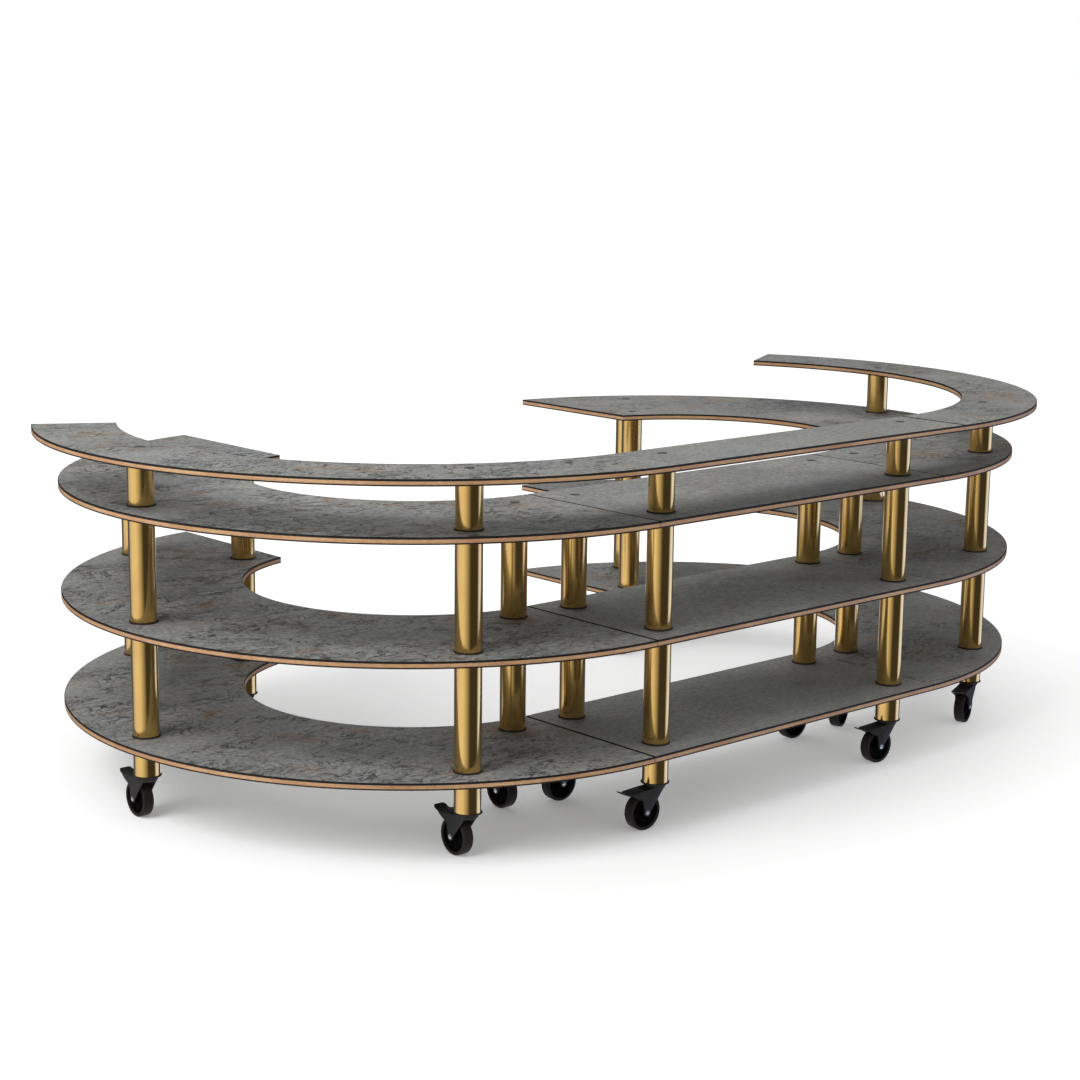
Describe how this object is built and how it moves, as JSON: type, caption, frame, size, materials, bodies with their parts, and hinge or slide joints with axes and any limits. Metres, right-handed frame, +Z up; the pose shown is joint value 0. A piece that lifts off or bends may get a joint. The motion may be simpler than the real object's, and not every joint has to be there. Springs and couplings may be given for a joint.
{
  "type": "buffet serving station",
  "caption": "U-shaped serving counter of docked straight and curved modules: tiered shelves and a raised bar ledge on brass posts with swivel casters and toe brakes.",
  "frame": {"origin": "on the floor, below the centre of the station's box", "axes": "+X along the straight module, +Y from the public side towards the open bay, +Z up"},
  "size_m": [3.4692, 2.1712, 1.064],
  "materials": {
    "slate_board": "slate-look laminate",
    "brass_post": "polished",
    "charcoal_metal": "satin powder coat",
    "tyre": "matt"
  },
  "bodies": {
    "station": {"left_bottom_shelf": "slate_board", "left_lower_shelf": "slate_board", "left_counter": "slate_board", "left_ledge": "slate_board", "left_front_post": "brass_post", "left_side_post": "brass_post", "left_rear_post": "brass_post", "left_inner_front_post": "brass_post", "left_inner_rear_post": "brass_post", "middle_bottom_shelf": "slate_board", "middle_lower_shelf": "slate_board", "middle_counter": "slate_board", "middle_ledge": "slate_board", "middle_outer_left_post": "brass_post", "middle_outer_right_post": "brass_post", "middle_inner_left_post": "brass_post", "middle_inner_right_post": "brass_post", "right_bottom_shelf": "slate_board", "right_lower_shelf": "slate_board", "right_counter": "slate_board", "right_ledge": "slate_board", "right_front_post": "brass_post", "right_side_post": "brass_post", "right_rear_post": "brass_post", "right_inner_front_post": "brass_post", "right_inner_rear_post": "brass_post"},
    "left_front_caster": {"left_front_fork": "charcoal_metal"},
    "left_front_rolling": {"left_front_wheel": "tyre"},
    "left_front_pedal": {"left_front_brake": "charcoal_metal"},
    "left_side_caster": {"left_side_fork": "charcoal_metal"},
    "left_side_rolling": {"left_side_wheel": "tyre"},
    "left_side_pedal": {"left_side_brake": "charcoal_metal"},
    "left_rear_caster": {"left_rear_fork": "charcoal_metal"},
    "left_rear_rolling": {"left_rear_wheel": "tyre"},
    "left_inner_front_caster": {"left_inner_front_fork": "charcoal_metal"},
    "left_inner_front_rolling": {"left_inner_front_wheel": "tyre"},
    "left_inner_rear_caster": {"left_inner_rear_fork": "charcoal_metal"},
    "left_inner_rear_rolling": {"left_inner_rear_wheel": "tyre"},
    "middle_outer_left_caster": {"middle_outer_left_fork": "charcoal_metal"},
    "middle_outer_left_rolling": {"middle_outer_left_wheel": "tyre"},
    "middle_outer_left_pedal": {"middle_outer_left_brake": "charcoal_metal"},
    "middle_outer_right_caster": {"middle_outer_right_fork": "charcoal_metal"},
    "middle_outer_right_rolling": {"middle_outer_right_wheel": "tyre"},
    "middle_outer_right_pedal": {"middle_outer_right_brake": "charcoal_metal"},
    "middle_inner_left_caster": {"middle_inner_left_fork": "charcoal_metal"},
    "middle_inner_left_rolling": {"middle_inner_left_wheel": "tyre"},
    "middle_inner_right_caster": {"middle_inner_right_fork": "charcoal_metal"},
    "middle_inner_right_rolling": {"middle_inner_right_wheel": "tyre"},
    "right_front_caster": {"right_front_fork": "charcoal_metal"},
    "right_front_rolling": {"right_front_wheel": "tyre"},
    "right_front_pedal": {"right_front_brake": "charcoal_metal"},
    "right_side_caster": {"right_side_fork": "charcoal_metal"},
    "right_side_rolling": {"right_side_wheel": "tyre"},
    "right_side_pedal": {"right_side_brake": "charcoal_metal"},
    "right_rear_caster": {"right_rear_fork": "charcoal_metal"},
    "right_rear_rolling": {"right_rear_wheel": "tyre"},
    "right_inner_front_caster": {"right_inner_front_fork": "charcoal_metal"},
    "right_inner_front_rolling": {"right_inner_front_wheel": "tyre"},
    "right_inner_rear_caster": {"right_inner_rear_fork": "charcoal_metal"},
    "right_inner_rear_rolling": {"right_inner_rear_wheel": "tyre"}
  },
  "joints": [
    {"name": "left_front_swivel", "type": "hinge", "parent": "station", "child": "left_front_caster", "pos_m": [-1.0871, -0.78842, 0.12905], "axis": [0, 0, 1], "continuous": true},
    {"name": "left_front_wheel_spin", "type": "hinge", "parent": "left_front_caster", "child": "left_front_rolling", "pos_m": [-1.08553, -0.74345, 0.0535], "axis": [-0.9994, 0.0349, 0], "continuous": true},
    {"name": "left_front_brake_press", "type": "hinge", "parent": "left_front_caster", "child": "left_front_pedal", "pos_m": [-1.08515, -0.73245, 0.11355], "axis": [-0.9994, 0.0349, 0], "range_deg": [0, 12]},
    {"name": "left_side_swivel", "type": "hinge", "parent": "station", "child": "left_side_caster", "pos_m": [-1.5656, 0.04037, 0.12905], "axis": [0, 0, 1], "continuous": true},
    {"name": "left_side_wheel_spin", "type": "hinge", "parent": "left_side_caster", "child": "left_side_rolling", "pos_m": [-1.56403, 0.08534, 0.0535], "axis": [-0.9994, 0.0349, 0], "continuous": true},
    {"name": "left_side_brake_press", "type": "hinge", "parent": "left_side_caster", "child": "left_side_pedal", "pos_m": [-1.56365, 0.09633, 0.11355], "axis": [-0.9994, 0.0349, 0], "range_deg": [0, 12]},
    {"name": "left_rear_swivel", "type": "hinge", "parent": "station", "child": "left_rear_caster", "pos_m": [-1.08696, 0.86924, 0.12905], "axis": [0, 0, 1], "continuous": true},
    {"name": "left_rear_wheel_spin", "type": "hinge", "parent": "left_rear_caster", "child": "left_rear_rolling", "pos_m": [-1.08539, 0.91421, 0.0535], "axis": [-0.9994, 0.0349, 0], "continuous": true},
    {"name": "left_inner_front_swivel", "type": "hinge", "parent": "station", "child": "left_inner_front_caster", "pos_m": [-0.7271, -0.55801, 0.12905], "axis": [0, 0, 1], "continuous": true},
    {"name": "left_inner_front_wheel_spin", "type": "hinge", "parent": "left_inner_front_caster", "child": "left_inner_front_rolling", "pos_m": [-0.72553, -0.51304, 0.0535], "axis": [-0.9994, 0.0349, 0], "continuous": true},
    {"name": "left_inner_rear_swivel", "type": "hinge", "parent": "station", "child": "left_inner_rear_caster", "pos_m": [-0.8546, 0.59857, 0.12905], "axis": [0, 0, 1], "continuous": true},
    {"name": "left_inner_rear_wheel_spin", "type": "hinge", "parent": "left_inner_rear_caster", "child": "left_inner_rear_rolling", "pos_m": [-0.85303, 0.64354, 0.0535], "axis": [-0.9994, 0.0349, 0], "continuous": true},
    {"name": "middle_outer_left_swivel", "type": "hinge", "parent": "station", "child": "middle_outer_left_caster", "pos_m": [-0.508, -0.91663, 0.12905], "axis": [0, 0, 1], "continuous": true},
    {"name": "middle_outer_left_wheel_spin", "type": "hinge", "parent": "middle_outer_left_caster", "child": "middle_outer_left_rolling", "pos_m": [-0.55289, -0.91349, 0.0535], "axis": [-0.0698, -0.9976, 0], "continuous": true},
    {"name": "middle_outer_left_brake_press", "type": "hinge", "parent": "middle_outer_left_caster", "child": "middle_outer_left_pedal", "pos_m": [-0.56386, -0.91273, 0.11355], "axis": [-0.0698, -0.9976, 0], "range_deg": [0, 12]},
    {"name": "middle_outer_right_swivel", "type": "hinge", "parent": "station", "child": "middle_outer_right_caster", "pos_m": [0.508, -0.91663, 0.12905], "axis": [0, 0, 1], "continuous": true},
    {"name": "middle_outer_right_wheel_spin", "type": "hinge", "parent": "middle_outer_right_caster", "child": "middle_outer_right_rolling", "pos_m": [0.46311, -0.91349, 0.0535], "axis": [-0.0698, -0.9976, 0], "continuous": true},
    {"name": "middle_outer_right_brake_press", "type": "hinge", "parent": "middle_outer_right_caster", "child": "middle_outer_right_pedal", "pos_m": [0.45214, -0.91273, 0.11355], "axis": [-0.0698, -0.9976, 0], "range_deg": [0, 12]},
    {"name": "middle_inner_left_swivel", "type": "hinge", "parent": "station", "child": "middle_inner_left_caster", "pos_m": [-0.508, -0.56963, 0.12905], "axis": [0, 0, 1], "continuous": true},
    {"name": "middle_inner_left_wheel_spin", "type": "hinge", "parent": "middle_inner_left_caster", "child": "middle_inner_left_rolling", "pos_m": [-0.55289, -0.56649, 0.0535], "axis": [-0.0698, -0.9976, 0], "continuous": true},
    {"name": "middle_inner_right_swivel", "type": "hinge", "parent": "station", "child": "middle_inner_right_caster", "pos_m": [0.508, -0.56963, 0.12905], "axis": [0, 0, 1], "continuous": true},
    {"name": "middle_inner_right_wheel_spin", "type": "hinge", "parent": "middle_inner_right_caster", "child": "middle_inner_right_rolling", "pos_m": [0.46311, -0.56649, 0.0535], "axis": [-0.0698, -0.9976, 0], "continuous": true},
    {"name": "right_front_swivel", "type": "hinge", "parent": "station", "child": "right_front_caster", "pos_m": [1.0871, -0.78842, 0.12905], "axis": [0, 0, 1], "continuous": true},
    {"name": "right_front_wheel_spin", "type": "hinge", "parent": "right_front_caster", "child": "right_front_rolling", "pos_m": [1.04481, -0.80381, 0.0535], "axis": [0.342, -0.9397, 0], "continuous": true},
    {"name": "right_front_brake_press", "type": "hinge", "parent": "right_front_caster", "child": "right_front_pedal", "pos_m": [1.03448, -0.80757, 0.11355], "axis": [0.342, -0.9397, 0], "range_deg": [0, 12]},
    {"name": "right_side_swivel", "type": "hinge", "parent": "station", "child": "right_side_caster", "pos_m": [1.5656, 0.04037, 0.12905], "axis": [0, 0, 1], "continuous": true},
    {"name": "right_side_wheel_spin", "type": "hinge", "parent": "right_side_caster", "child": "right_side_rolling", "pos_m": [1.52331, 0.02498, 0.0535], "axis": [0.342, -0.9397, 0], "continuous": true},
    {"name": "right_side_brake_press", "type": "hinge", "parent": "right_side_caster", "child": "right_side_pedal", "pos_m": [1.51298, 0.02122, 0.11355], "axis": [0.342, -0.9397, 0], "range_deg": [0, 12]},
    {"name": "right_rear_swivel", "type": "hinge", "parent": "station", "child": "right_rear_caster", "pos_m": [1.08696, 0.86924, 0.12905], "axis": [0, 0, 1], "continuous": true},
    {"name": "right_rear_wheel_spin", "type": "hinge", "parent": "right_rear_caster", "child": "right_rear_rolling", "pos_m": [1.04467, 0.85385, 0.0535], "axis": [0.342, -0.9397, 0], "continuous": true},
    {"name": "right_inner_front_swivel", "type": "hinge", "parent": "station", "child": "right_inner_front_caster", "pos_m": [0.7271, -0.55801, 0.12905], "axis": [0, 0, 1], "continuous": true},
    {"name": "right_inner_front_wheel_spin", "type": "hinge", "parent": "right_inner_front_caster", "child": "right_inner_front_rolling", "pos_m": [0.68481, -0.5734, 0.0535], "axis": [0.342, -0.9397, 0], "continuous": true},
    {"name": "right_inner_rear_swivel", "type": "hinge", "parent": "station", "child": "right_inner_rear_caster", "pos_m": [0.8546, 0.59857, 0.12905], "axis": [0, 0, 1], "continuous": true},
    {"name": "right_inner_rear_wheel_spin", "type": "hinge", "parent": "right_inner_rear_caster", "child": "right_inner_rear_rolling", "pos_m": [0.81231, 0.58317, 0.0535], "axis": [0.342, -0.9397, 0], "continuous": true}
  ]
}
